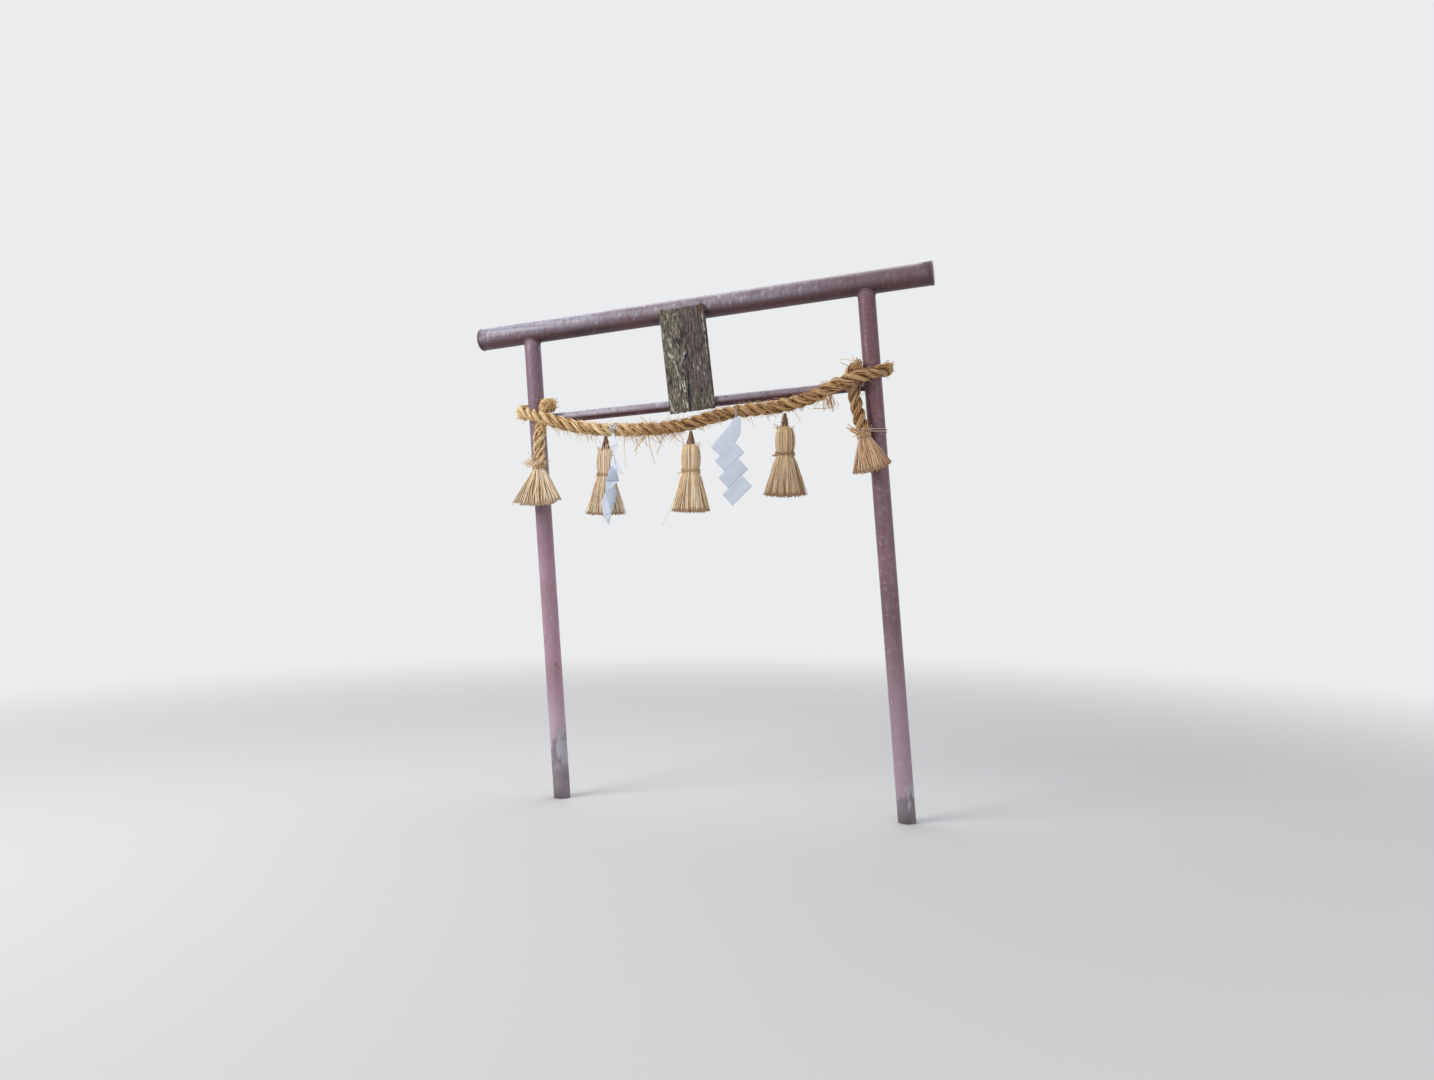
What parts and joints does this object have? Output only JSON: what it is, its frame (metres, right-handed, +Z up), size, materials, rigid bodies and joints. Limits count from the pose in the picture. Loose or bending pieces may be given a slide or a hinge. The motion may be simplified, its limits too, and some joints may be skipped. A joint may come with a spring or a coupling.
{
  "type": "torii gate",
  "caption": "Small steel-pipe torii gate, leaning, with a weathered board between the beams and a straw rope with hanging tassels and folded papers.",
  "frame": {"origin": "centre of the left post's foot, on the lowest level where the posts meet the ground", "axes": "+X level along the gate from the left post to the right one as seen from the front, -Y towards the front, +Z up; the frame of pipes leans 4.27 degrees towards -X"},
  "size_m": [2.1374, 0.2345, 2.3669],
  "materials": {
    "frame_paint": "satin",
    "board_wood": "matte",
    "rusty_steel": "matte",
    "rope_straw": "matte",
    "loose_straw": "matte",
    "brown_twine": "matte",
    "white_string": "matte",
    "white_paper": "matte"
  },
  "bodies": {
    "gate": {"end_fringe_left": "loose_straw", "end_fringe_right": "loose_straw", "end_tie_left": "brown_twine", "end_tie_right": "brown_twine", "kasagi": "frame_paint", "kasagi_cap_left": "frame_paint", "kasagi_cap_right": "frame_paint", "nuki": "frame_paint", "plaque_board": "board_wood", "plaque_clip_left": "rusty_steel", "plaque_clip_right": "rusty_steel", "post_left": "frame_paint", "post_right": "frame_paint", "post_twine": "brown_twine", "rope": "rope_straw", "shide_loop_1": "white_string", "shide_loop_2": "white_string"},
    "tassel_1": {"tassel_cord_1": "brown_twine", "tassel_straw_1": "loose_straw", "tassel_tie_1": "brown_twine"},
    "tassel_2": {"tassel_cord_2": "brown_twine", "tassel_straw_2": "loose_straw", "tassel_tie_2": "brown_twine"},
    "tassel_3": {"tassel_cord_3": "brown_twine", "tassel_straw_3": "loose_straw", "tassel_tie_3": "brown_twine"},
    "shide_1": {"shide_string_1": "white_string", "shide_paper_1": "white_paper"},
    "shide_2": {"shide_string_2": "white_string", "shide_paper_2": "white_paper"}
  },
  "joints": [
    {"name": "tassel_1_swing", "type": "hinge", "parent": "gate", "child": "tassel_1", "pos_m": [0.238, -0.05349, 1.66863], "axis": [0, 1, 0], "range_deg": [-15, 15]},
    {"name": "tassel_2_swing", "type": "hinge", "parent": "gate", "child": "tassel_2", "pos_m": [0.65, -0.066, 1.67638], "axis": [1, 0, 0], "range_deg": [-30, 30]},
    {"name": "tassel_3_swing", "type": "hinge", "parent": "gate", "child": "tassel_3", "pos_m": [1.078, -0.06792, 1.73915], "axis": [1, 0, 0], "range_deg": [-30, 30]},
    {"name": "shide_1_swing", "type": "hinge", "parent": "gate", "child": "shide_1", "pos_m": [0.291, -0.10065, 1.68359], "axis": [-1, 0, 0], "range_deg": [0, 60]},
    {"name": "shide_2_swing", "type": "hinge", "parent": "gate", "child": "shide_2", "pos_m": [0.867, -0.09839, 1.74446], "axis": [-1, 0, 0], "range_deg": [-20, 60]}
  ]
}
